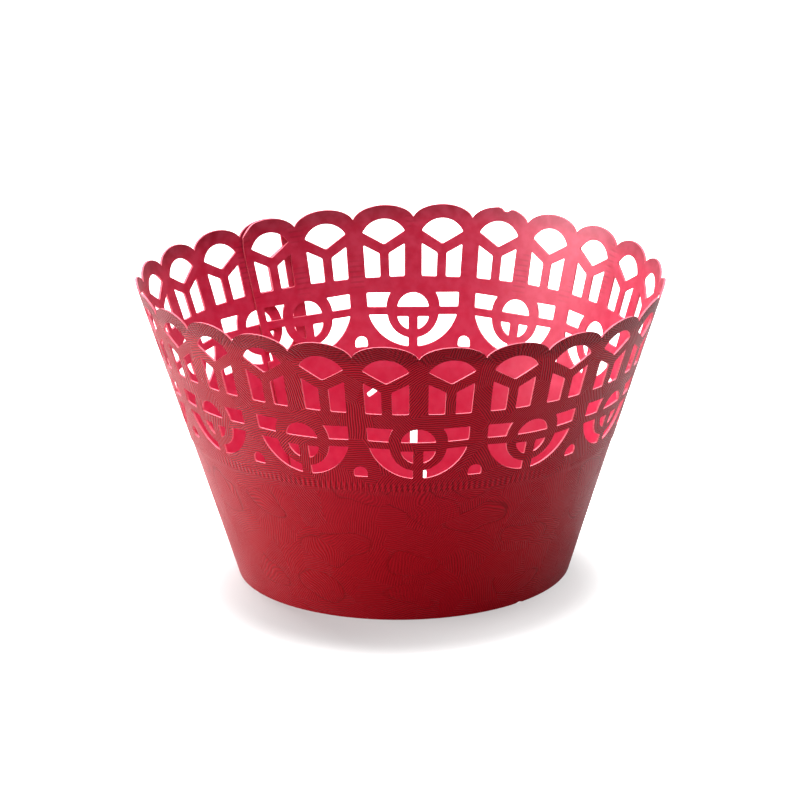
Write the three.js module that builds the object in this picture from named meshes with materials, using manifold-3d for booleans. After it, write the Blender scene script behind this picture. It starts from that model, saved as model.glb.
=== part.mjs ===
// A lace cupcake wrapper: one die-cut strip of embossed card, rolled into a flared sleeve and glued where its
// ends lap. It is open at the top and the bottom.
//
// The strip is drawn flat, as the die cuts it: a band of a ring around an apex, because a band of a ring rolls
// up into a cone. Every opening is drawn in that flat blank and rolled up with it, so circles of the pattern
// stay circles on the card. Lengths are millimetres, angles are degrees unless a name says otherwise.
import * as THREE from 'three';
import { mergeVertices } from 'three/addons/utils/BufferGeometryUtils.js';
import Module from 'manifold-3d';

// Driving dimensions of the rolled wrapper, measured over the card's outer face.
const TOP_DIAMETER = 80;
const BOTTOM_DIAMETER = 51.5;
const HEIGHT = 46.7;
const CARD_THICKNESS = 0.3;

// The rim isn't quite round or level, because a card sleeve relaxes: on its long axis it spreads and dips.
const RIM_SPREAD = 0.75;
const RIM_DIP = 0.6;
const LONG_AXIS_BEARING = -33;

// The pattern repeats every two scallops. The strip is one scallop longer than the turn, and that is the lap.
const SCALLOPS_IN_TURN = 25;
const SCALLOPS_IN_STRIP = 26;
const STRIP_START_BEARING = 129.8;
const GLUE_THICKNESS = 0.05;
const FACETS_PER_SCALLOP = 2;

// The pattern's bands and openings, stacked down the slope of the wall from the scallops' tips.
const SCALLOP_DEPTH = 2.03;
const RIM_BAND = 2.18;
const FAN_ARCH = 2.1;
const FAN_POINT = 2.05;
const V_BAR_AT_POST = 2.0;
const V_BAR_AT_SPOKE = 1.4;
const SLOT_LENGTH = 3.85;
const MIDDLE_BAND = 2.55;
const WINDOW_HEIGHT = 2.35;
const BAR_WIDTH = 1.5;
const ARC_OPENING = 1.45;
const DOT_RISE = 0.25;
const CREASE_GAP = 2.75;

// Widths and radii in the pattern.
const POST_WIDTH = 2.8;
const SPOKE_WIDTH = 1.5;
const SCALLOP_TIP_FLAT = 1.0;
const SCALLOP_ROUNDNESS = 1.03;
const DISC_RADIUS = 2.6;
const DISC_RING_OUTER = 4.35;
const QUARTER_RADIUS = 2.6;
const QUARTER_RISE = 0.35;
const HOOP_RADIUS = 4.2;
const ARC_RADIUS = 7.65;
const ARC_TOP_RISE = 0.3;
const DOT_WIDTH = 2.1;
const DOT_HEIGHT = 1.8;

// The lace band stands a little proud of the plain wall below the crease.
const EMBOSS_STEP = 0.12;
const CREASE_WIDTH = 0.5;

// The outer end of the strip is a solid margin, and the lap is glued over the plain wall.
const END_MARGIN_SCALLOPS = 0.25;
const GLUE_LINE = { fromPost: 25.25, toPost: 25.75, bottom: 3, top: 20 };

// Wear: a nick in the bottom edge and a small tear in one scallop.
const NICK = { post: 12.35, width: 1.9, depth: 0.25 };
const TEAR = { post: 4.58, width: 1.8, depth: 0.8 };

// Three short slits low in the back wall. Each is given by its middle, its size, and its lean in degrees.
const BACK_SLITS = [
  { post: 2.15, up: 18.9, length: 1.8, width: 0.8, lean: 58 },
  { post: 3.02, up: 11.4, length: 3.4, width: 1.15, lean: 0 },
  { post: 3.24, up: 5.4, length: 1.4, width: 1.2, lean: 0 },
];

// How many straight lines draw each round outline.
const FAN_SEGMENTS = 5;
const DISC_SEGMENTS = 5;
const RING_SEGMENTS = 2;
const HOOP_SEGMENTS = 3;
const ARC_SEGMENTS = 4;
const DOT_SEGMENTS = 4;
const SCALLOP_FLANK_SEGMENTS = 3;

// How far a cutter reaches past the card on each side. The strip is cut while its roll is still loose, with
// its start this far further in than its other end, so that no cutter reaches both layers of the lap.
const CUTTER_REACH = 1;
const LOOSE_INSET = 2.5;

// Worked out from the driving dimensions.
const topRadius = TOP_DIAMETER / 2;
const bottomRadius = BOTTOM_DIAMETER / 2;
const flare = Math.atan2(topRadius - bottomRadius, HEIGHT);
const slope = Math.hypot(topRadius - bottomRadius, HEIGHT);
const apexReach = bottomRadius / Math.sin(flare);
const turnPerScallop = 2 * Math.PI / SCALLOPS_IN_TURN;
const flatPerScallop = turnPerScallop * Math.sin(flare);
const wallAcross = CARD_THICKNESS / Math.cos(flare);
const lapInset = wallAcross + GLUE_THICKNESS;
const scallopValley = slope - SCALLOP_DEPTH;
const fanTop = slope - RIM_BAND;
const fanCorner = fanTop - FAN_ARCH;
const fanBottom = fanCorner - FAN_POINT;
const slotOuterTop = fanCorner - V_BAR_AT_POST;
const slotInnerTop = fanBottom - V_BAR_AT_SPOKE;
const slotBottom = slotInnerTop - SLOT_LENGTH;
const windowTop = slotBottom - MIDDLE_BAND;
const barTop = windowTop - WINDOW_HEIGHT;
const barBottom = barTop - BAR_WIDTH;
const hoopCentre = (barTop + barBottom) / 2;
const arcBottom = hoopCentre - HOOP_RADIUS - ARC_OPENING;
const dotBottom = arcBottom + DOT_RISE;
const crease = arcBottom - CREASE_GAP;
const startTurn = THREE.MathUtils.degToRad(STRIP_START_BEARING);
const longAxis = THREE.MathUtils.degToRad(LONG_AXIS_BEARING);

const wasm = await Module();
wasm.setup();

// How much of the inset the strip has: all of it under its other end, and none past the next two scallops.
function insetShare(post) {
  return 1 - THREE.MathUtils.smoothstep(post, 1, 3);
}

// The point of the loose roll for a place on the flat strip: how many scallops along it (post 0 is the
// strip's inner end), how far up the slope, and how far outward from the outer face.
function onWall(post, up, outward) {
  const turn = startTurn - post * turnPerScallop;
  const radius = bottomRadius + up * Math.sin(flare) + outward - LOOSE_INSET * insetShare(post);
  return new THREE.Vector3(radius * Math.cos(turn), radius * Math.sin(turn), up * Math.cos(flare));
}

// The place of a point of the loose roll once the lap is closed and the sleeve has relaxed. Nothing relaxes
// at the bottom edge, and the rim moves most.
function settled(x, y, z) {
  const turn = Math.atan2(y, x);
  const depth = bottomRadius + z * Math.tan(flare) - Math.hypot(x, y);
  const innerLayer = depth > LOOSE_INSET / 2;
  let post = THREE.MathUtils.euclideanModulo(startTurn - turn, 2 * Math.PI) / turnPerScallop;
  if (innerLayer && post > SCALLOPS_IN_TURN / 2) post -= SCALLOPS_IN_TURN;
  if (!innerLayer && post < SCALLOPS_IN_STRIP - SCALLOPS_IN_TURN + 0.5) post += SCALLOPS_IN_TURN;
  const sway = z / HEIGHT * Math.cos(2 * (turn - longAxis));
  const closed = Math.hypot(x, y) + (LOOSE_INSET - lapInset) * insetShare(post);
  const radius = closed * (1 + RIM_SPREAD / topRadius * sway);
  const height = z * (1 - RIM_DIP / HEIGHT * sway);
  return new THREE.Vector3(radius * Math.cos(turn), radius * Math.sin(turn), height);
}

// Moves every vertex of a geometry to the place that the function gives for it.
function reshape(geometry, place) {
  const position = geometry.getAttribute('position');
  for (let i = 0; i < position.count; i++) {
    const point = place(position.getX(i), position.getY(i), position.getZ(i));
    position.setXYZ(i, point.x, point.y, point.z);
  }
  return geometry;
}

function solidOf(geometry) {
  geometry.deleteAttribute('normal');
  geometry.deleteAttribute('uv');
  const merged = mergeVertices(geometry);
  return new wasm.Manifold(new wasm.Mesh({
    numProp: 3,
    vertProperties: merged.getAttribute('position').array,
    triVerts: new Uint32Array(merged.index.array),
  }));
}

// A stretch of the strip whose section is given as [outward, up] points.
function stretch(section, fromPost, toPost) {
  const outline = new THREE.Shape(section.map(([outward, up]) => new THREE.Vector2(outward, up)));
  const along = toPost - fromPost;
  const steps = Math.round(along * FACETS_PER_SCALLOP);
  const straight = new THREE.ExtrudeGeometry(outline, { depth: along, steps, bevelEnabled: false });
  return solidOf(reshape(straight, (outward, up, run) => onWall(fromPost + run, up, outward)));
}

// The card's section between two heights, with the step of the crease where they lie either side of it.
function cardSection(bottom, top) {
  const stepStart = crease - CREASE_WIDTH / 2;
  const stepEnd = crease + CREASE_WIDTH / 2;
  const outer = bottom < stepStart
    ? [[0, bottom], [0, stepStart], [EMBOSS_STEP, stepEnd], [EMBOSS_STEP, top]]
    : [[EMBOSS_STEP, bottom], [EMBOSS_STEP, top]];
  const inner = outer.map(([outward, up]) => [outward - wallAcross, up]).reverse();
  return [...outer, ...inner];
}

// A cutter for an opening drawn flat around a post's centre line: x runs against the strip, y up the slope.
// It follows the round of the wall along its outline, and goes straight through the card.
function cutter(outline, post) {
  const turn = startTurn - post * turnPerScallop;
  const through = new THREE.Vector3(Math.cos(turn), Math.sin(turn), 0);
  const block = new THREE.ExtrudeGeometry(outline, { depth: 2 * CUTTER_REACH, bevelEnabled: false });
  return solidOf(reshape(block, (x, y, z) => {
    const reach = Math.hypot(x, apexReach + y);
    const swing = Math.atan2(x, apexReach + y);
    const onFace = onWall(post - swing / flatPerScallop, reach - apexReach, 0);
    return onFace.addScaledVector(through, z - CUTTER_REACH);
  }));
}

// Half the width of a scallop's wedge of the blank, at a height.
function halfWedge(y) {
  return (apexReach + y) * Math.tan(flatPerScallop / 2);
}

// The corner of an opening beside a post, in the wedge of a scallop or of a two-scallop unit.
function besidePost(y, scallopsFromCentre) {
  return (apexReach + y) * Math.tan(flatPerScallop * scallopsFromCentre) - POST_WIDTH / 2;
}

function mirrored(points, side) {
  return new THREE.Shape(points.map(([x, y]) => new THREE.Vector2(side * x, y)));
}

// Points on a circle's arc, from one angle to another in radians.
function arcPoints(centreY, radius, from, to, segments) {
  return Array.from({ length: segments + 1 }, (_, i) => {
    const angle = from + (to - from) * i / segments;
    return [radius * Math.cos(angle), centreY + radius * Math.sin(angle)];
  });
}

// The fan under a scallop: a round top over a V.
function fanOutline() {
  const halfWidth = besidePost(fanCorner, 0.5);
  const rise = fanTop - fanCorner;
  const radius = (halfWidth ** 2 + rise ** 2) / (2 * rise);
  const corner = Math.asin(halfWidth / radius);
  const top = arcPoints(fanTop - radius, radius, Math.PI / 2 - corner, Math.PI / 2 + corner, FAN_SEGMENTS);
  return mirrored([...top, [0, fanBottom]], 1);
}

// One of the pair of slots under the V.
function slotOutline(side) {
  return mirrored([
    [SPOKE_WIDTH / 2, slotBottom],
    [besidePost(slotBottom, 0.5), slotBottom],
    [besidePost(slotOuterTop, 0.5), slotOuterTop],
    [SPOKE_WIDTH / 2, slotInnerTop],
  ], side);
}

// The half disc above the medallion's bar.
function discOutline() {
  const halfWidth = DISC_RADIUS * 0.995;
  const centre = barTop - Math.sqrt(DISC_RADIUS ** 2 - halfWidth ** 2);
  const lift = Math.asin((barTop - centre) / DISC_RADIUS);
  return mirrored(arcPoints(centre, DISC_RADIUS, lift, Math.PI - lift, DISC_SEGMENTS), 1);
}

// The window between the medallion's ring and the post beside it.
function windowOutline(side) {
  const centre = barTop;
  const topAngle = Math.asin((windowTop - centre) / DISC_RING_OUTER);
  const ring = arcPoints(centre, DISC_RING_OUTER, topAngle, 0, RING_SEGMENTS);
  return mirrored([
    ...ring,
    [besidePost(barTop, 1), barTop],
    [besidePost(windowTop, 1), windowTop],
  ], side);
}

// A quarter below the bar, beside the spoke.
function quarterOutline(side) {
  const centre = barBottom + QUARTER_RISE;
  const edge = SPOKE_WIDTH / 2;
  const from = Math.asin((barBottom - centre) / QUARTER_RADIUS);
  const to = -Math.acos(edge / QUARTER_RADIUS);
  return mirrored([...arcPoints(centre, QUARTER_RADIUS, from, to, RING_SEGMENTS), [edge, barBottom]], side);
}

// The long curved opening outside the hoop, from the post to the spoke.
function arcOutline(side) {
  const top = barBottom + ARC_TOP_RISE;
  const edge = SPOKE_WIDTH / 2;
  const arcCentre = arcBottom + ARC_RADIUS;
  const innerFrom = -Math.acos(edge / HOOP_RADIUS);
  const innerTo = Math.asin((top - hoopCentre) / HOOP_RADIUS);
  const outerFrom = Math.asin((top - arcCentre) / ARC_RADIUS);
  const outerTo = -Math.acos(edge / ARC_RADIUS);
  const inner = arcPoints(hoopCentre, HOOP_RADIUS, innerFrom, innerTo, HOOP_SEGMENTS);
  const outer = arcPoints(arcCentre, ARC_RADIUS, outerFrom, outerTo, ARC_SEGMENTS);
  return mirrored([...inner, ...outer], side);
}

// The small dome between two medallions.
function dotOutline() {
  const radius = DOT_WIDTH / 2;
  const dome = arcPoints(dotBottom + DOT_HEIGHT - radius, radius, 0, Math.PI, DOT_SEGMENTS);
  return mirrored([...dome, [-radius, dotBottom], [radius, dotBottom]], 1);
}

// The notch between two scallops. Each scallop is a flat arch: part of an ellipse a little wider than it.
function notchOutline() {
  const halfAngle = flatPerScallop / 2;
  const halfPitch = halfWedge(scallopValley);
  const halfEllipse = halfPitch * SCALLOP_ROUNDNESS;
  const endDrop = 1 - Math.sqrt(1 - (halfPitch / halfEllipse) ** 2);
  const archHeight = (slope - scallopValley) / endDrop;
  const segments = SCALLOP_FLANK_SEGMENTS;
  const flank = Array.from({ length: segments + 1 }, (_, i) => {
    const sweep = Math.asin(SCALLOP_TIP_FLAT / 2 / halfEllipse);
    const end = Math.asin(halfPitch / halfEllipse);
    const angle = sweep + (end - sweep) * i / segments;
    const x = halfEllipse * Math.sin(angle);
    const y = slope - archHeight * (1 - Math.cos(angle));
    const reach = Math.hypot(x, apexReach + y);
    const swing = Math.atan2(x, apexReach + y) - halfAngle;
    return [reach * Math.sin(swing), reach * Math.cos(swing) - apexReach];
  });
  flank[segments][0] = 0;
  const otherFlank = flank.slice(0, -1).reverse().map(([x, y]) => [-x, y]);
  const over = slope + CUTTER_REACH;
  return mirrored([...flank, ...otherFlank, [-flank[0][0], over], [flank[0][0], over]], 1);
}

function wedgeOutline({ width, depth }, edge) {
  const inward = edge > 0 ? -depth : depth;
  return mirrored([[-width / 2, edge - inward], [width / 2, edge - inward], [0, edge + inward]], 1);
}

// A straight slit, which leans along the strip.
function slitOutline({ up, length, width, lean }) {
  const middle = new THREE.Vector2(0, up);
  const corners = [[-1, -1], [1, -1], [1, 1], [-1, 1]].map(([side, end]) =>
    new THREE.Vector2(side * width / 2, up + end * length / 2));
  corners.forEach((corner) => corner.rotateAround(middle, THREE.MathUtils.degToRad(lean)));
  return new THREE.Shape(corners);
}

// Every opening of the lace: what repeats with each post, each scallop and each medallion.
function laceCutters() {
  const cutters = [];
  for (let post = 0; post <= SCALLOPS_IN_STRIP; post++) {
    cutters.push(cutter(notchOutline(), post));
    if (post % 2 === 0) cutters.push(cutter(dotOutline(), post));
  }
  for (let middle = 0.5; middle < SCALLOPS_IN_STRIP; middle++) {
    cutters.push(cutter(fanOutline(), middle));
    for (const side of [-1, 1]) cutters.push(cutter(slotOutline(side), middle));
  }
  for (let medallion = 1; medallion < SCALLOPS_IN_STRIP; medallion += 2) {
    cutters.push(cutter(discOutline(), medallion));
    for (const side of [-1, 1]) {
      cutters.push(cutter(windowOutline(side), medallion));
      cutters.push(cutter(quarterOutline(side), medallion));
      cutters.push(cutter(arcOutline(side), medallion));
    }
  }
  return cutters;
}

// The solid margin at the outer end of the strip, above the crease.
function endMargin() {
  const section = cardSection(crease + CREASE_WIDTH, scallopValley);
  return stretch(section, SCALLOPS_IN_STRIP - END_MARGIN_SCALLOPS, SCALLOPS_IN_STRIP);
}

// The glue between the two layers of the lap. It bites a little into both.
function glueLine() {
  const bite = CARD_THICKNESS * 0.6;
  const outer = bite - wallAcross;
  const inner = -LOOSE_INSET - bite;
  const { fromPost, toPost, bottom, top } = GLUE_LINE;
  return stretch([[outer, bottom], [outer, top], [inner, top], [inner, bottom]], fromPost, toPost);
}

function wrapperGeometry() {
  const card = stretch(cardSection(0, slope), 0, SCALLOPS_IN_STRIP);
  const slits = BACK_SLITS.map((slit) => cutter(slitOutline(slit), slit.post));
  const wear = [cutter(wedgeOutline(NICK, 0), NICK.post), cutter(wedgeOutline(TEAR, slope), TEAR.post)];
  const lace = wasm.Manifold.difference([card, ...laceCutters(), ...slits, ...wear]);
  const sheet = wasm.Manifold.union([lace, endMargin(), glueLine()]).getMesh();
  const geometry = new THREE.BufferGeometry();
  geometry.setAttribute('position', new THREE.BufferAttribute(sheet.vertProperties, 3));
  geometry.setIndex(new THREE.BufferAttribute(sheet.triVerts, 1));
  return reshape(geometry, settled);
}

// Card with a pearl coat over deep red.
const pearlCard = new THREE.MeshStandardMaterial({ color: 0x8c1424, roughness: 0.42, metalness: 0.15 });

const sheet = new THREE.Mesh(wrapperGeometry(), pearlCard);
sheet.name = 'wrapper_sheet';

const wrapper = new THREE.Group();
wrapper.name = 'lace_cupcake_wrapper';
wrapper.add(sheet);

export default wrapper;
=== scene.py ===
"""A lace cupcake wrapper of red pearl card, drawn as a flat strip, cut into lace and rolled into a sleeve."""
import math

import bpy
from mathutils import Matrix, Vector
from mathutils.geometry import delaunay_2d_cdt


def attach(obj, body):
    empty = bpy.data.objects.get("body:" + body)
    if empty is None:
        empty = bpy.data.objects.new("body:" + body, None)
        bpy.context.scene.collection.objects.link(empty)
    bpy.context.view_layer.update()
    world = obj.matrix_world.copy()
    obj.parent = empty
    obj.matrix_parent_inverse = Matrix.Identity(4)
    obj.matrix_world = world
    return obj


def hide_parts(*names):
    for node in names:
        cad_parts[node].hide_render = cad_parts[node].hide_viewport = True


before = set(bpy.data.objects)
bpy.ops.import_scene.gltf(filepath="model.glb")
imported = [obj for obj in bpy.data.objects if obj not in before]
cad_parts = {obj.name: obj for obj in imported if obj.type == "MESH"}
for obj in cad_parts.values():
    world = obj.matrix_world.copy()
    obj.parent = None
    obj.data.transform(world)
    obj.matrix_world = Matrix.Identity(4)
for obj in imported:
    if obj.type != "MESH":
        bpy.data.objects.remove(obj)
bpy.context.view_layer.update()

MM = 0.001
MM_PER_CM = 10

# Sizes of the sleeve and the strip in millimetres, as the CAD solid has them.
TOP_RADIUS = 40.0
BOTTOM_RADIUS = 25.75
HEIGHT = 46.7
CARD_THICKNESS = 0.3
RIM_SPREAD = 0.75
RIM_DIP = 0.6
LONG_AXIS = math.radians(-33)
SCALLOPS_IN_TURN = 25
SCALLOPS_IN_STRIP = 26
STRIP_START = math.radians(129.8)
GLUE_THICKNESS = 0.05

# The pattern's bands and openings, stacked down the slope of the wall from the scallops' tips.
SCALLOP_DEPTH = 2.03
RIM_BAND = 2.18
FAN_ARCH = 2.1
FAN_POINT = 2.05
V_BAR_AT_POST = 2.0
V_BAR_AT_SPOKE = 1.4
SLOT_LENGTH = 3.85
MIDDLE_BAND = 2.55
WINDOW_HEIGHT = 2.35
BAR_WIDTH = 1.5
ARC_OPENING = 1.45
DOT_RISE = 0.25
CREASE_GAP = 2.75
CREASE_WIDTH = 0.5
EMBOSS_STEP = 0.12

# Widths and radii in the pattern.
POST_WIDTH = 2.8
SPOKE_WIDTH = 1.5
SCALLOP_ROUNDNESS = 1.03
DISC_RADIUS = 2.6
DISC_FLAT_HALF_WIDTH = 2.587
DISC_RING_OUTER = 4.35
QUARTER_RADIUS = 2.6
QUARTER_RISE = 0.35
HOOP_RADIUS = 4.2
ARC_RADIUS = 7.65
ARC_TOP_RISE = 0.3
DOT_WIDTH = 2.1
DOT_HEIGHT = 1.8
END_MARGIN = 0.25
END_MARGIN_TOP_GAP = 0.4
CORNER_RADIUS = 0.22
CORNER_FULLNESS = 0.4
SMOOTH_ANGLE = math.radians(150)
LAP_EASE_SCALLOPS = 2

# Wear: a nick in the bottom edge, a tear in one scallop, and the curled corner of the strip's inner end.
NICK_POST, NICK_HALF_WIDTH, NICK_DEPTH, NICK_REACH = 12.35, 0.11, 0.25, 1.5
TEAR_POST, TEAR_HALF_WIDTH, TEAR_DEPTH = 4.58, 0.1, 0.8
CURL_POSTS, CURL_BOTTOM, CURL_DEPTH = 0.35, 44.0, 0.9

# Three short slits low in the back wall, all in one unit of the strip, with their lean in degrees.
SLIT_UNIT = 1
BACK_SLITS = [
    {"post": 2.15, "up": 18.9, "length": 1.8, "width": 0.8, "lean": 58},
    {"post": 3.02, "up": 11.4, "length": 3.4, "width": 1.15, "lean": 0},
    {"post": 3.24, "up": 5.4, "length": 1.4, "width": 1.2, "lean": 0},
]

# The emboss: its depths as the light sees them, its pitches, and how far the rim's darkening reaches down.
EMBOSS_DEPTH = 0.022
INSIDE_EMBOSS_DEPTH = 0.01
FIBRE_DEPTH = 0.04
TICKS_PER_SCALLOP = 10
PLEATS_IN_TURN = 55
RUNG_PITCH = 0.85
RIM_FADE = 1.5

# How fine the mesh is.
OUTLINE_STEP = 0.45
INSIDE_STEP = 0.8
ROW_STEP = INSIDE_STEP * 0.87
SCALLOP_STEPS = 24
EDGE_CLEARANCE = 0.28
SAME_POINT = 1e-5

flare = math.atan2(TOP_RADIUS - BOTTOM_RADIUS, HEIGHT)
slope = math.hypot(TOP_RADIUS - BOTTOM_RADIUS, HEIGHT)
apex = BOTTOM_RADIUS / math.sin(flare)
turn_per_scallop = 2 * math.pi / SCALLOPS_IN_TURN
flat_per_scallop = turn_per_scallop * math.sin(flare)
wall_across = CARD_THICKNESS / math.cos(flare)

scallop_valley = slope - SCALLOP_DEPTH
fan_top = slope - RIM_BAND
fan_corner = fan_top - FAN_ARCH
fan_bottom = fan_corner - FAN_POINT
slot_outer_top = fan_corner - V_BAR_AT_POST
slot_inner_top = fan_bottom - V_BAR_AT_SPOKE
slot_bottom = slot_inner_top - SLOT_LENGTH
window_top = slot_bottom - MIDDLE_BAND
bar_top = window_top - WINDOW_HEIGHT
bar_bottom = bar_top - BAR_WIDTH
hoop_centre = (bar_top + bar_bottom) / 2
arc_bottom = hoop_centre - HOOP_RADIUS - ARC_OPENING
dot_bottom = arc_bottom + DOT_RISE
crease = arc_bottom - CREASE_GAP


def smoothstep(value, low, high):
    t = min(max((value - low) / (high - low), 0.0), 1.0)
    return t * t * (3 - 2 * t)


# The lace, drawn flat around a medallion's centre line: x across, y up the slope.

def swung(point, scallops):
    """A flat point turned about the strip's apex by so many scallops."""
    x, y = point
    reach = math.hypot(x, apex + y)
    swing = math.atan2(x, apex + y) + scallops * flat_per_scallop
    return reach * math.sin(swing), reach * math.cos(swing) - apex


def swung_all(points, scallops):
    return [swung(point, scallops) for point in points]


def beside_post(y, scallops):
    """How far the side of the post that stands so many scallops away is from the centre line."""
    return (apex + y) * math.tan(flat_per_scallop * scallops) - POST_WIDTH / 2


def arc(centre_y, radius, start, end):
    """Points along a circle's arc, about one outline step apart."""
    count = max(2, math.ceil(abs(end - start) * radius / OUTLINE_STEP))
    angles = [start + (end - start) * i / count for i in range(count + 1)]
    return [(radius * math.cos(a), centre_y + radius * math.sin(a)) for a in angles]


def mirrored(points):
    return [(-x, y) for x, y in points]


def fan():
    """The opening under one scallop: an arched top and a point below."""
    half_width = beside_post(fan_corner, 0.5)
    rise = fan_top - fan_corner
    radius = (half_width ** 2 + rise ** 2) / (2 * rise)
    corner = math.asin(half_width / radius)
    return arc(fan_top - radius, radius, math.pi / 2 - corner, math.pi / 2 + corner) + [(0, fan_bottom)]


def slot():
    """The upright opening between a post and a spoke, slanted at its top."""
    return [
        (SPOKE_WIDTH / 2, slot_bottom),
        (beside_post(slot_bottom, 0.5), slot_bottom),
        (beside_post(slot_outer_top, 0.5), slot_outer_top),
        (SPOKE_WIDTH / 2, slot_inner_top),
    ]


def disc():
    """The half-round opening in the medallion's upper middle, flat on the bar."""
    centre = bar_top - math.sqrt(DISC_RADIUS ** 2 - DISC_FLAT_HALF_WIDTH ** 2)
    lift = math.asin((bar_top - centre) / DISC_RADIUS)
    return arc(centre, DISC_RADIUS, lift, math.pi - lift)


def window():
    """The low opening over the bar, from the disc's ring to the post."""
    top_angle = math.asin((window_top - bar_top) / DISC_RING_OUTER)
    ring = arc(bar_top, DISC_RING_OUTER, top_angle, 0)
    return ring + [(beside_post(bar_top, 1), bar_top), (beside_post(window_top, 1), window_top)]


def quarter():
    """The rounded opening under the bar, beside the spoke."""
    centre = bar_bottom + QUARTER_RISE
    start = math.asin((bar_bottom - centre) / QUARTER_RADIUS)
    end = -math.acos(SPOKE_WIDTH / 2 / QUARTER_RADIUS)
    return arc(centre, QUARTER_RADIUS, start, end) + [(SPOKE_WIDTH / 2, bar_bottom)]


def long_arc():
    """The curved opening round the underside of the medallion's hoop."""
    top = bar_bottom + ARC_TOP_RISE
    edge = SPOKE_WIDTH / 2
    arc_centre = arc_bottom + ARC_RADIUS
    inner_end = math.asin((top - hoop_centre) / HOOP_RADIUS)
    outer_start = math.asin((top - arc_centre) / ARC_RADIUS)
    inner = arc(hoop_centre, HOOP_RADIUS, -math.acos(edge / HOOP_RADIUS), inner_end)
    outer = arc(arc_centre, ARC_RADIUS, outer_start, -math.acos(edge / ARC_RADIUS))
    return inner + outer


def dot():
    """The small domed opening at the foot of a post."""
    radius = DOT_WIDTH / 2
    dome = arc(dot_bottom + DOT_HEIGHT - radius, radius, 0, math.pi)
    return dome + [(-radius, dot_bottom), (radius, dot_bottom)]


def slit(post, up, length, width, lean):
    """A straight slit that leans along the strip, in its place in the slit unit."""
    turned = Matrix.Rotation(math.radians(lean), 2)
    corners = [turned @ Vector((side * width / 2, end * length / 2))
               for side, end in ((-1, -1), (1, -1), (1, 1), (-1, 1))]
    return swung_all([(corner.x, up + corner.y) for corner in corners], 2 * SLIT_UNIT + 1 - post)


def scallop_edge():
    """The rim's outline over one scallop, from valley to valley."""
    half_pitch = (apex + scallop_valley) * math.sin(flat_per_scallop / 2)
    valley_y = (apex + scallop_valley) * math.cos(flat_per_scallop / 2) - apex
    half_ellipse = half_pitch * SCALLOP_ROUNDNESS
    end_drop = 1 - math.sqrt(1 - (half_pitch / half_ellipse) ** 2)
    arch = (slope - valley_y) / end_drop
    end = math.asin(half_pitch / half_ellipse)
    angles = [end - 2 * end * i / SCALLOP_STEPS for i in range(SCALLOP_STEPS + 1)]
    return [(half_ellipse * math.sin(a), slope - arch * (1 - math.cos(a))) for a in angles]


def rounded(points):
    """The outline with its sharp corners cut round, and its long sides split."""
    result = []
    count = len(points)
    for i, point in enumerate(points):
        here = Vector(point)
        back = Vector(points[i - 1]) - here
        ahead = Vector(points[(i + 1) % count]) - here
        if back.length < SAME_POINT or ahead.length < SAME_POINT:
            continue
        if back.angle(ahead) > SMOOTH_ANGLE:
            result.append(here)
            continue
        cut = min(CORNER_RADIUS, back.length / 3, ahead.length / 3)
        start = here + back.normalized() * cut
        end = here + ahead.normalized() * cut
        middle = (start + end) / 2
        result += [start, middle + (here - middle) * CORNER_FULLNESS, end]
    return split_long(result, closed=True)


def split_long(points, closed):
    """The outline or line with every side cut into parts of at most one outline step."""
    result = []
    last = len(points) if closed else len(points) - 1
    for i in range(last):
        a = Vector(points[i])
        b = Vector(points[(i + 1) % len(points)])
        steps = max(1, math.ceil((b - a).length / OUTLINE_STEP))
        result += [a.lerp(b, j / steps) for j in range(steps)]
    if not closed:
        result.append(Vector(points[-1]))
    return result


def holes():
    """The outlines of the openings of one two-scallop unit, and of the dots on its two borders."""
    outlines = [disc(), swung_all(dot(), 1), swung_all(dot(), -1)]
    for shape in (window(), quarter(), long_arc()):
        outlines += [shape, mirrored(shape)]
    for side in (-0.5, 0.5):
        outlines.append(swung_all(fan(), side))
        outlines += [swung_all(slot(), side), swung_all(mirrored(slot()), side)]
    return [rounded(outline) for outline in outlines]


def inside(point, outline):
    """Whether a flat point lies inside a closed outline, by counting the sides left of it."""
    x, y = point
    crossed = False
    for i, (x1, y1) in enumerate(outline):
        x0, y0 = outline[i - 1]
        if (y0 > y) != (y1 > y) and x < x0 + (y - y0) * (x1 - x0) / (y1 - y0):
            crossed = not crossed
    return crossed


def border(scallops):
    """A unit's straight border, up the centre of the post between it and the next unit."""
    steps = math.ceil(scallop_valley / INSIDE_STEP)
    stops = [scallop_valley * i / steps for i in range(steps + 1)]
    stops += [crease - CREASE_WIDTH / 2, crease + CREASE_WIDTH / 2]
    return [Vector(swung((0, stop), scallops)) for stop in sorted(stops)]


def level_line(up):
    """A line at one height across the unit, from its left border to its right."""
    count = 2 * math.ceil((apex + up) * flat_per_scallop / INSIDE_STEP)
    return [Vector(swung((0, up), -1 + 2 * i / count)) for i in range(count + 1)]


def rim_line():
    """The rim over the unit's two scallops, from its right border to its left."""
    left = swung_all(scallop_edge(), -0.5)
    right = swung_all(scallop_edge(), 0.5)
    return [Vector(point) for point in right + left[1:]]


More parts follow.
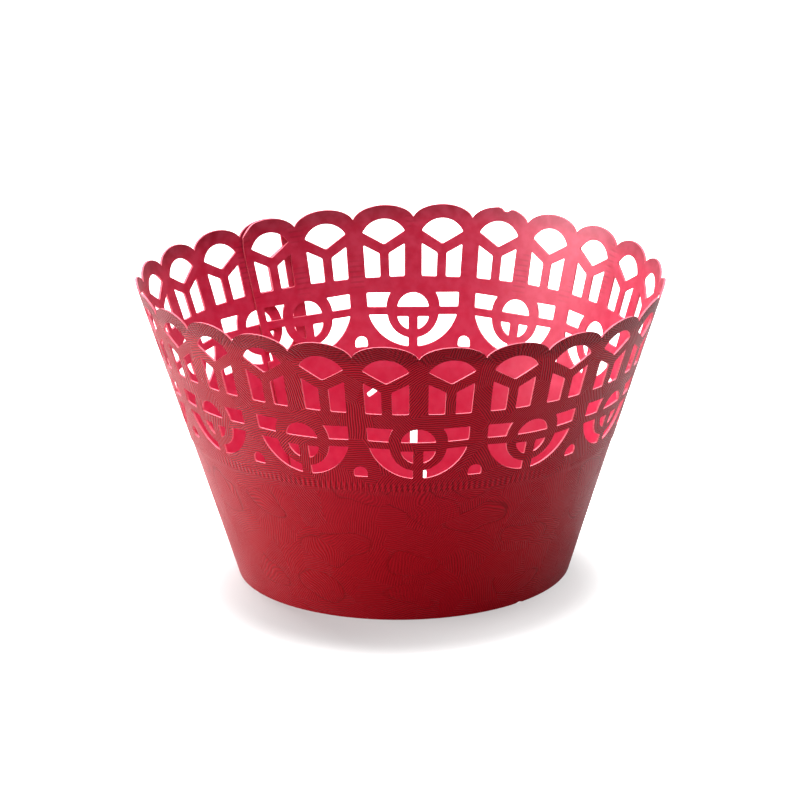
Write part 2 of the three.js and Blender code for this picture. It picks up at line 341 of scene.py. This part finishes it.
def unit_mesh(with_margin=False, slits=()):
    """One two-scallop unit of the flat strip as points and triangles.

    with_margin keeps the strip's end solid beside the unit's last border.
    """
    outlines = holes() + [rounded(slit(**sizes)) for sizes in slits]
    margin_post = 1 - END_MARGIN
    points = []
    edges = []

    def add_line(line, closed):
        first = len(points)
        points.extend(line)
        edges.extend((first + i, first + i + 1) for i in range(len(line) - 1))
        if closed:
            edges.append((len(points) - 1, first))

    for outline in outlines:
        add_line(outline, True)
    for scallops in (-1, 1):
        add_line(border(scallops), False)
    for up in (0, crease - CREASE_WIDTH / 2, crease + CREASE_WIDTH / 2):
        add_line(level_line(up), False)
    rim = rim_line()
    add_line(rim, False)
    if with_margin:
        margin_ends = (crease, scallop_valley - END_MARGIN_TOP_GAP)
        margin = [Vector(swung((0, up), -margin_post)) for up in margin_ends]
        add_line(split_long(margin, closed=False), False)

    fixed = list(points)
    rows = math.ceil(slope / ROW_STEP)
    for row in range(1, rows):
        up = slope * row / rows
        count = 2 * math.ceil((apex + up) * flat_per_scallop / INSIDE_STEP)
        for i in range(1, count):
            across = (i + 0.5 * (row % 2)) / count
            point = Vector(swung((0, up), -1 + 2 * across))
            if across < 1 and min((point - other).length for other in fixed) > EDGE_CLEARANCE:
                points.append(point)

    flat, _, triangles, _, _, _ = delaunay_2d_cdt(points, edges, [], 0, SAME_POINT)
    wedge = level_line(0) + rim
    kept = []
    for triangle in triangles:
        centre = sum((flat[i] for i in triangle), Vector((0, 0))) / 3
        if not inside(centre, wedge):
            continue
        solid_end = with_margin and -math.atan2(centre.x, apex + centre.y) / flat_per_scallop > margin_post
        if not solid_end and any(inside(centre, outline) for outline in outlines):
            continue
        kept.append(tuple(triangle))
    return flat, kept


# Rolling the strip

def on_sleeve(post, up, inward):
    """The rolled place in metres of a point of the strip, so far inward from the card's outer face."""
    turn = STRIP_START - post * turn_per_scallop
    lap_end = SCALLOPS_IN_STRIP - SCALLOPS_IN_TURN
    lap = (wall_across + GLUE_THICKNESS) * (1 - smoothstep(post, lap_end, lap_end + LAP_EASE_SCALLOPS))
    step_half = CREASE_WIDTH / 2
    emboss = EMBOSS_STEP * smoothstep(up, crease - step_half, crease + step_half)
    curl = CURL_DEPTH * (1 - smoothstep(post, 0, CURL_POSTS)) * smoothstep(up, CURL_BOTTOM, slope)
    sway = up / slope * math.cos(2 * (turn - LONG_AXIS))
    round_radius = BOTTOM_RADIUS + up * math.sin(flare) + emboss - lap - curl - inward
    radius = round_radius * (1 + RIM_SPREAD / TOP_RADIUS * sway)
    z = up * math.cos(flare) * (1 - RIM_DIP / HEIGHT * sway)
    return Vector((radius * math.cos(turn), radius * math.sin(turn), z)) * MM


def worn(post, up):
    """The height of a strip point once the nick and the tear have moved it."""
    nick = max(0.0, 1 - abs(post - NICK_POST) / NICK_HALF_WIDTH)
    tear = max(0.0, 1 - abs(post - TEAR_POST) / TEAR_HALF_WIDTH)
    up += NICK_DEPTH * nick * (1 - smoothstep(up, 0, NICK_REACH))
    up -= TEAR_DEPTH * tear * smoothstep(up, fan_top, slope)
    return up


def strip_mesh():
    """The whole flat strip: places as (post, up) pairs, with the units joined along their borders."""
    units = SCALLOPS_IN_STRIP // 2
    meshes = [unit_mesh()] * units
    meshes[SLIT_UNIT] = unit_mesh(slits=BACK_SLITS)
    meshes[-1] = unit_mesh(with_margin=True)
    places = []
    triangles = []
    index_of = {}
    for unit, (flat, faces) in enumerate(meshes):
        centre = 2 * unit + 1
        indices = []
        for point in flat:
            up = math.hypot(point.x, apex + point.y) - apex
            post = centre - math.atan2(point.x, apex + point.y) / flat_per_scallop
            key = (round(post, 4), round(up, 3))
            if key not in index_of:
                index_of[key] = len(places)
                places.append((post, up))
            indices.append(index_of[key])
        triangles += [tuple(indices[i] for i in face) for face in faces]
    used = sorted({i for face in triangles for i in face})
    renumbered = {old: new for new, old in enumerate(used)}
    places = [places[i] for i in used]
    triangles = [tuple(renumbered[i] for i in face) for face in triangles if len(set(face)) == 3]
    return places, triangles


def open_edges(triangles):
    """The directed edges that only one triangle has: the strip's cut edges."""
    directed = {(face[i], face[(i + 1) % 3]) for face in triangles for i in range(3)}
    return [(a, b) for a, b in directed if (b, a) not in directed]


def add_maps(mesh, places):
    """Two maps of the strip: flat, as the die cuts it, in centimetres, and strip, by post and height."""
    flat_map = mesh.uv_layers.new(name="flat")
    strip_map = mesh.uv_layers.new(name="strip")
    for loop in mesh.loops:
        post, up = places[loop.vertex_index % len(places)]
        angle = (post - SCALLOPS_IN_STRIP / 2) * flat_per_scallop
        reach = (apex + up) / MM_PER_CM
        flat_map.data[loop.index].uv = (reach * math.sin(angle), reach * math.cos(angle))
        strip_map.data[loop.index].uv = (post, up)


def sharpen(mesh, cuts, count):
    """Sharp edges along the cuts on both faces of the card, so that the cut edge stays crisp."""
    sharp = {tuple(sorted(pair)) for pair in cuts}
    sharp |= {(low + count, high + count) for low, high in sharp}
    for edge in mesh.edges:
        if tuple(sorted(edge.vertices)) in sharp:
            edge.use_edge_sharp = True


def faces_inward(triangle, outer):
    a, b, c = (outer[i] for i in triangle)
    return (b - a).cross(c - a).dot(Vector((a.x, a.y, 0))) < 0


def build_sheet(outside, inside_face, cut_edge):
    """The rolled sheet: the strip's outer and inner faces, joined along every cut edge."""
    places, triangles = strip_mesh()
    outer = [on_sleeve(post, worn(post, up), 0) for post, up in places]
    inner = [on_sleeve(post, worn(post, up), wall_across) for post, up in places]
    count = len(places)
    if faces_inward(triangles[0], outer):
        triangles = [tuple(reversed(face)) for face in triangles]
    cuts = open_edges(triangles)
    faces = list(triangles)
    faces += [tuple(i + count for i in reversed(face)) for face in triangles]
    faces += [(b, a, a + count, b + count) for a, b in cuts]

    mesh = bpy.data.meshes.new("lace_sheet")
    mesh.from_pydata(outer + inner, [], faces)
    for material in (outside, inside_face, cut_edge):
        mesh.materials.append(material)
    half = len(triangles)
    mesh.polygons.foreach_set("material_index", [0] * half + [1] * half + [2] * len(cuts))
    mesh.polygons.foreach_set("use_smooth", [True] * len(faces))
    add_maps(mesh, places)
    sharpen(mesh, cuts, count)
    mesh.update()
    sheet = bpy.data.objects.new("lace_sheet", mesh)
    bpy.context.scene.collection.objects.link(sheet)
    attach(sheet, "root")
    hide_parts("wrapper_sheet")


# Materials

def linear(red, green, blue):
    """A colour given as it looks on a screen, 0 to 255."""
    def channel(value):
        value /= 255
        return value / 12.92 if value <= 0.04045 else ((value + 0.055) / 1.055) ** 2.4
    return channel(red), channel(green), channel(blue), 1.0


class Nodes:
    """A short way to write the node tree of a material or a world."""

    def __init__(self, owner):
        self.owner = owner
        owner.use_nodes = True
        self.tree = owner.node_tree
        self.tree.nodes.clear()

    def put(self, socket, value):
        if isinstance(value, bpy.types.NodeSocket):
            self.tree.links.new(value, socket)
        else:
            socket.default_value = value

    def add(self, kind, inputs=None, **settings):
        node = self.tree.nodes.new(kind)
        for key, value in settings.items():
            setattr(node, key, value)
        for key, value in (inputs or {}).items():
            self.put(node.inputs[key], value)
        return node

    def maths(self, operation, *values):
        node = self.add("ShaderNodeMath", operation=operation)
        for socket, value in zip(node.inputs, values):
            self.put(socket, value)
        return node.outputs[0]

    def vector(self, operation, first, second):
        return self.add("ShaderNodeVectorMath", {0: first, 1: second}, operation=operation).outputs[0]

    def split(self, vector):
        return self.add("ShaderNodeSeparateXYZ", {0: vector}).outputs

    def uv(self, name):
        return self.add("ShaderNodeUVMap", uv_map=name).outputs[0]

    def noise(self, vector, scale, detail):
        inputs = {"Vector": vector, "Scale": scale, "Detail": detail}
        return self.add("ShaderNodeTexNoise", inputs).outputs["Fac"]

    def mix(self, factor, first, second):
        node = self.add("ShaderNodeMix", data_type="RGBA")
        for socket, value in zip((node.inputs[0], node.inputs[6], node.inputs[7]), (factor, first, second)):
            self.put(socket, value)
        return node.outputs[2]

    def ramp(self, value, low, high):
        """A smooth step from 0 at low to 1 at high."""
        inputs = {"Value": value, "From Min": low, "From Max": high}
        return self.add("ShaderNodeMapRange", inputs, interpolation_type="SMOOTHSTEP").outputs[0]

    def fade(self, value, low, high):
        """A smooth step from 1 at low to 0 at high."""
        return self.maths("SUBTRACT", 1.0, self.ramp(value, low, high))

    def bump(self, height, depth, strength=1.0):
        """A bumped surface direction, with the depth of a height of 1 in millimetres."""
        inputs = {"Height": height, "Strength": strength, "Distance": depth * MM}
        return self.add("ShaderNodeBump", inputs).outputs[0]

    def card(self, inputs):
        """The finished material, with one surface of these settings."""
        surface = self.add("ShaderNodeBsdfPrincipled", inputs)
        self.add("ShaderNodeOutputMaterial", {0: surface.outputs[0]})
        return self.owner


def patches(n, flat, scale, bend, stretch=1.0):
    """Bent cells of the flat card, so many to a centimetre.

    Gives each cell's chances, the place within the cell in millimetres, and the distance from its middle.
    """
    bending = n.add("ShaderNodeTexNoise", {"Vector": flat, "Scale": 1.6, "Detail": 1.0}).outputs["Color"]
    shift = n.vector("MULTIPLY", bending, (bend, bend, 0.0))
    drawn = n.vector("MULTIPLY", n.vector("ADD", flat, shift), (stretch, 1.0, 1.0))
    cells = n.add("ShaderNodeTexVoronoi", {"Vector": drawn, "Scale": scale}, voronoi_dimensions="2D")
    chance = n.add("ShaderNodeSeparateColor", {0: cells.outputs["Color"]})
    within = n.vector("SUBTRACT", drawn, cells.outputs["Position"])
    place = n.split(n.vector("MULTIPLY", within, (MM_PER_CM / stretch, MM_PER_CM, 0.0)))
    return chance.outputs, place, cells.outputs["Distance"]


def ribs(n, place, chance, pitch, bow):
    """Fine bowed ribs across a patch, from -1 to 1, in a direction that the patch's chance gives."""
    angle = n.maths("MULTIPLY", chance, math.pi)
    cosine = n.maths("COSINE", angle)
    sine = n.maths("SINE", angle)
    across = n.maths("ADD", n.maths("MULTIPLY", place[0], cosine), n.maths("MULTIPLY", place[1], sine))
    along = n.maths("SUBTRACT", n.maths("MULTIPLY", place[1], cosine), n.maths("MULTIPLY", place[0], sine))
    bowed = n.maths("MULTIPLY_ADD", n.maths("MULTIPLY", along, along), bow, across)
    return n.maths("SINE", n.maths("MULTIPLY", bowed, 2 * math.pi / pitch))


def silk_ground(n, flat, wall):
    """Patches of fine ribs, each as strong as its chance says and fainter on the lower wall."""
    chance, place, _ = patches(n, flat, scale=2.1, bend=0.14)
    ground = ribs(n, place, chance[0], pitch=0.35, bow=0.03)
    in_lace = n.maths("MULTIPLY_ADD", chance[1], 0.8, 0.9)
    return n.maths("MULTIPLY", ground, n.maths("MULTIPLY_ADD", wall, -0.5, in_lace))


def leaves(n, flat, wall):
    """The larger leaf patches of the lower wall: their veins, what they cover, and their outlines."""
    chance, place, from_middle = patches(n, flat, scale=1.7, bend=0.5, stretch=0.55)
    veins = n.maths("MULTIPLY", ribs(n, place, chance[1], pitch=0.42, bow=0.08), 0.7)
    leafy = n.maths("MULTIPLY", wall, n.ramp(chance[0], 0.3, 0.7))
    edge = 0.4
    cover = n.maths("MULTIPLY", leafy, n.fade(from_middle, edge - 0.04, edge + 0.02))
    line = n.maths("SUBTRACT", n.ramp(from_middle, edge - 0.03, edge), n.ramp(from_middle, edge, edge + 0.03))
    return veins, cover, n.maths("MULTIPLY", line, leafy)


def rim_pleats(n, flat, post, up, rim):
    """Uneven pleats that fan out over each scallop from the point of the opening below it."""
    from_peak = n.maths("SUBTRACT", n.maths("FRACT", post), 0.5)
    across = n.maths("MULTIPLY", from_peak, turn_per_scallop * TOP_RADIUS)
    angle = n.maths("ARCTAN2", across, n.maths("SUBTRACT", up, fan_bottom))
    uneven = n.noise(flat, 3.0, 2.0)
    swing = n.maths("MULTIPLY_ADD", uneven, 14.0, n.maths("MULTIPLY", angle, PLEATS_IN_TURN))
    return n.maths("MULTIPLY", n.maths("SINE", swing), n.maths("MULTIPLY", rim, n.ramp(uneven, 0.35, 0.6)))


def crease_ticks(n, strip, post, up):
    """Short upright ticks in a band just over the crease, worn away in places."""
    ticks = n.maths("SINE", n.maths("MULTIPLY", post, 2 * math.pi * TICKS_PER_SCALLOP))
    above = n.maths("SUBTRACT", up, crease)
    band = n.maths("MULTIPLY", n.ramp(above, 0.3, 0.6), n.fade(above, 1.5, 2.1))
    left_over = n.ramp(n.noise(strip, 0.35, 2.0), 0.36, 0.5)
    return n.maths("MULTIPLY", ticks, n.maths("MULTIPLY", band, left_over))


def pearl_outside():
    """Deep red pearl card with a silk emboss, leaves low down, ticks over the crease and a pleated rim."""
    n = Nodes(bpy.data.materials.new("pearl_card_outside"))
    flat = n.uv("flat")
    strip = n.uv("strip")
    post, up, _ = n.split(strip)

    wall = n.fade(up, crease, crease + 1)
    rim = n.ramp(up, fan_top - RIM_FADE, fan_top)
    ground = silk_ground(n, flat, wall)
    veins, leaf_cover, leaf_outline = leaves(n, flat, wall)
    height = n.maths("MULTIPLY_ADD", n.maths("SUBTRACT", veins, ground), leaf_cover, ground)
    # Each further form of the emboss, with its height against the ground's ribs.
    forms = [
        (leaf_outline, -1.0),
        (rim_pleats(n, flat, post, up, rim), 1.6),
        (crease_ticks(n, strip, post, up), 1.5),
        (n.noise(flat, 60.0, 3.0), 0.8),
    ]
    for form, strength in forms:
        height = n.maths("MULTIPLY_ADD", form, strength, height)

    # The red follows the emboss height: hollows painted darker as shade, ridges painted paler as highlight.
    # In the lace band the hollows are darker still and the ridges pinker, a painted pearl sheen.
    lace = n.ramp(up, crease - 14, crease + 8)
    shaded_hollow_red = n.mix(lace, linear(120, 0, 5), linear(92, 2, 12))
    highlit_ridge_red = n.mix(lace, linear(156, 3, 20), linear(171, 14, 34))
    dark_rim = linear(58, 0, 4)
    colour = n.mix(n.ramp(height, -0.9, 1.6), shaded_hollow_red, highlit_ridge_red)
    colour = n.mix(n.maths("MULTIPLY", rim, 0.45), colour, dark_rim)
    return n.card({
        "Base Color": colour,
        "Roughness": 0.4,
        "Normal": n.bump(height, EMBOSS_DEPTH),
        "IOR": 1.37,
        "Specular Tint": linear(255, 60, 80),
        "Sheen Weight": 0.12,
        "Sheen Roughness": 0.5,
        "Sheen Tint": linear(255, 190, 205),
    })


def pressed_rungs(n, flat, post, up):
    """Rungs pressed through on some of the posts between the slots."""
    from_post = n.maths("ABSOLUTE", n.maths("SUBTRACT", n.maths("FRACT", n.maths("ADD", post, 0.5)), 0.5))
    on_post = n.maths("MULTIPLY", n.fade(from_post, 0.1, 0.15), n.ramp(up, window_top, slot_bottom))
    rungs = n.ramp(n.maths("SINE", n.maths("MULTIPLY", up, 2 * math.pi / RUNG_PITCH)), 0, 1)
    some = n.ramp(n.noise(flat, 0.9, 1.0), 0.48, 0.6)
    return n.maths("MULTIPLY", n.maths("MULTIPLY", rungs, on_post), some)


def plain_inside():
    """The card's plain inner face: bright crimson, with the emboss showing through faintly."""
    n = Nodes(bpy.data.materials.new("card_inside"))
    flat = n.uv("flat")
    post, up, _ = n.split(n.uv("strip"))
    ghost = n.noise(flat, 5.0, 2.0)
    grain = n.noise(flat, 70.0, 2.0)
    pressed = pressed_rungs(n, flat, post, up)
    height = n.maths("MULTIPLY_ADD", grain, 0.3, n.maths("SUBTRACT", ghost, pressed))

    lace = n.ramp(up, crease - 6, slope)
    rim = n.ramp(up, fan_top - RIM_FADE, slope)
    dark_rim = linear(118, 4, 28)
    ghost_highlight = linear(235, 110, 140)
    rung_shade = linear(96, 0, 20)
    colour = n.mix(lace, linear(204, 38, 76), linear(158, 12, 46))
    colour = n.mix(rim, colour, dark_rim)
    # Paler where the faint emboss showing through stands up: a painted highlight.
    colour = n.mix(n.maths("MULTIPLY", n.ramp(ghost, 0.3, 0.7), 0.12), colour, ghost_highlight)
    # Darker in the pressed rungs: painted shade in their grooves.
    colour = n.mix(n.maths("MULTIPLY", pressed, 0.35), colour, rung_shade)
    return n.card({
        "Base Color": colour,
        "Roughness": 0.4,
        "Normal": n.bump(height, INSIDE_EMBOSS_DEPTH),
        "IOR": 1.7,
        "Specular Tint": linear(255, 170, 185),
    })


def cut_card():
    """The cut edge: the paler core of the card."""
    n = Nodes(bpy.data.materials.new("card_cut_edge"))
    fibres = n.noise(n.uv("flat"), 40.0, 3.0)
    return n.card({
        "Base Color": n.mix(fibres, linear(196, 48, 72), linear(240, 124, 142)),
        "Roughness": 0.75,
        "Normal": n.bump(fibres, FIBRE_DEPTH, strength=0.6),
    })


def white_floor():
    """A grey floor that takes the wrapper's shadow and glows, to the camera alone, into the white background.

    The card mirrors the floor, and a grey one keeps the lower wall as dark as in the photograph.
    """
    grey = 0.42
    # The glow to the camera is painted light: weakest around shadow_middle and at the left, so the shadow
    # shows there, and stronger to the right and further out, where it lifts the shadow into white.
    shadow_middle = (0, -0.01, 0)
    shadow_radius, white_radius = 0.025, 0.041
    glow_at_left, glow_at_right = 0.25, 0.51
    n = Nodes(bpy.data.materials.new("white_floor"))
    place = n.add("ShaderNodeNewGeometry").outputs["Position"]
    away = n.add("ShaderNodeVectorMath", {0: place, 1: shadow_middle}, operation="DISTANCE").outputs["Value"]
    rightward = n.ramp(n.split(place)[0], -0.025, 0.03)
    near_glow = n.maths("MULTIPLY_ADD", rightward, glow_at_right - glow_at_left, glow_at_left)
    glow = n.maths("ADD", near_glow, n.ramp(away, shadow_radius, white_radius))
    camera_ray = n.add("ShaderNodeLightPath").outputs["Is Camera Ray"]
    light = n.add("ShaderNodeEmission", {"Strength": n.maths("MULTIPLY", camera_ray, glow)})
    paper = n.add("ShaderNodeBsdfDiffuse", {"Color": (grey, grey, grey, 1.0)})
    both = n.add("ShaderNodeAddShader", {0: paper.outputs[0], 1: light.outputs[0]})
    n.add("ShaderNodeOutputMaterial", {0: both.outputs[0]})
    return n.owner


def build_floor():
    half = 3.0
    corners = [(-half, -half, 0), (half, -half, 0), (half, half, 0), (-half, half, 0)]
    mesh = bpy.data.meshes.new("floor")
    mesh.from_pydata(corners, [], [(0, 1, 2, 3)])
    mesh.materials.append(white_floor())
    floor = bpy.data.objects.new("floor", mesh)
    bpy.context.scene.collection.objects.link(floor)


# Light and camera, in metres and watts

def add_light(name, place, size, power, aim=(0, 0, 0.02), spread=180):
    light = bpy.data.lights.new(name, "AREA")
    light.shape = "RECTANGLE"
    light.size, light.size_y = size
    light.energy = power
    light.spread = math.radians(spread)
    lamp = bpy.data.objects.new(name, light)
    lamp.location = place
    lamp.rotation_euler = (Vector(aim) - Vector(place)).to_track_quat("-Z", "Y").to_euler()
    bpy.context.scene.collection.objects.link(lamp)


def build_lights():
    """Soft light from above and from the left, with a little from the right and the front."""
    add_light("left_softbox", (-0.24, 0.34, 0.32), (0.25, 0.25), 3.4, aim=(-0.07, 0.02, 0))
    add_light("left_panel", (-0.47, -0.04, 0.12), (0.4, 0.22), 3.0)
    add_light("left_floor_light", (-0.22, 0, 0.4), (0.04, 0.1), 0.12, aim=(-0.14, 0.02, 0), spread=25)
    add_light("right_softbox", (0.26, 0.34, 0.3), (0.25, 0.25), 0.8)
    add_light("front_panel", (0.22, -0.5, 0.035), (0.4, 0.06), 1.0)
    add_light("top_softbox", (0.04, 0.06, 0.6), (0.5, 0.3), 5.0)


def build_world():
    """A white background, and for all other rays a room that is bright at the left and dark at the right."""
    world = bpy.data.worlds.new("white_studio")
    n = Nodes(world)
    sideways = n.split(n.add("ShaderNodeTexCoord").outputs["Generated"])[0]
    left_bright = {"Value": sideways, "From Min": -1.0, "From Max": 1.0, "To Min": 0.9, "To Max": 0.0}
    room = n.add("ShaderNodeMapRange", left_bright).outputs[0]
    rays = n.add("ShaderNodeLightPath").outputs
    seen = n.maths("MAXIMUM", rays["Is Camera Ray"], rays["Is Transmission Ray"])
    strength = n.add("ShaderNodeMapRange", {"Value": seen, "To Min": room, "To Max": 1.0}).outputs[0]
    background = n.add("ShaderNodeBackground", {"Strength": strength})
    n.add("ShaderNodeOutputWorld", {0: background.outputs[0]})
    bpy.context.scene.world = world


def build_camera():
    """The photograph's viewpoint: a long lens, looking down 18 degrees, with a slight roll."""
    picture_side = 800
    focal_pixels = 4153.1
    target_pixel_x, target_pixel_y = 401.72, 421.05
    target = Vector((0, 0, 0.023))
    distance = 0.6407
    elevation = math.radians(18.03)
    roll = math.radians(-0.844)

    back = Vector((0, -math.cos(elevation), math.sin(elevation)))
    right = Vector((1, 0, 0))
    up = right.cross(-back)
    turn_right = (target_pixel_x - picture_side / 2) / focal_pixels
    turn_down = (target_pixel_y - picture_side / 2) / focal_pixels
    forward = (up * turn_down - back - right * turn_right).normalized()
    right = forward.cross(Vector((0, 0, 1))).normalized()
    up = right.cross(forward)
    rolled_right = right * math.cos(roll) + up * math.sin(roll)
    rolled_up = up * math.cos(roll) - right * math.sin(roll)
    axes = Matrix((rolled_right, rolled_up, -forward)).transposed()

    lens = bpy.data.cameras.new("camera")
    lens.sensor_width = 36
    lens.lens = focal_pixels / picture_side * lens.sensor_width
    lens.clip_start = 0.01
    lens.clip_end = 20
    camera = bpy.data.objects.new("camera", lens)
    camera.matrix_world = Matrix.Translation(target + back * distance) @ axes.to_4x4()
    bpy.context.scene.collection.objects.link(camera)
    bpy.context.scene.camera = camera


build_sheet(pearl_outside(), plain_inside(), cut_card())
build_floor()
build_lights()
build_world()
build_camera()
bpy.context.scene.view_settings.view_transform = "Standard"
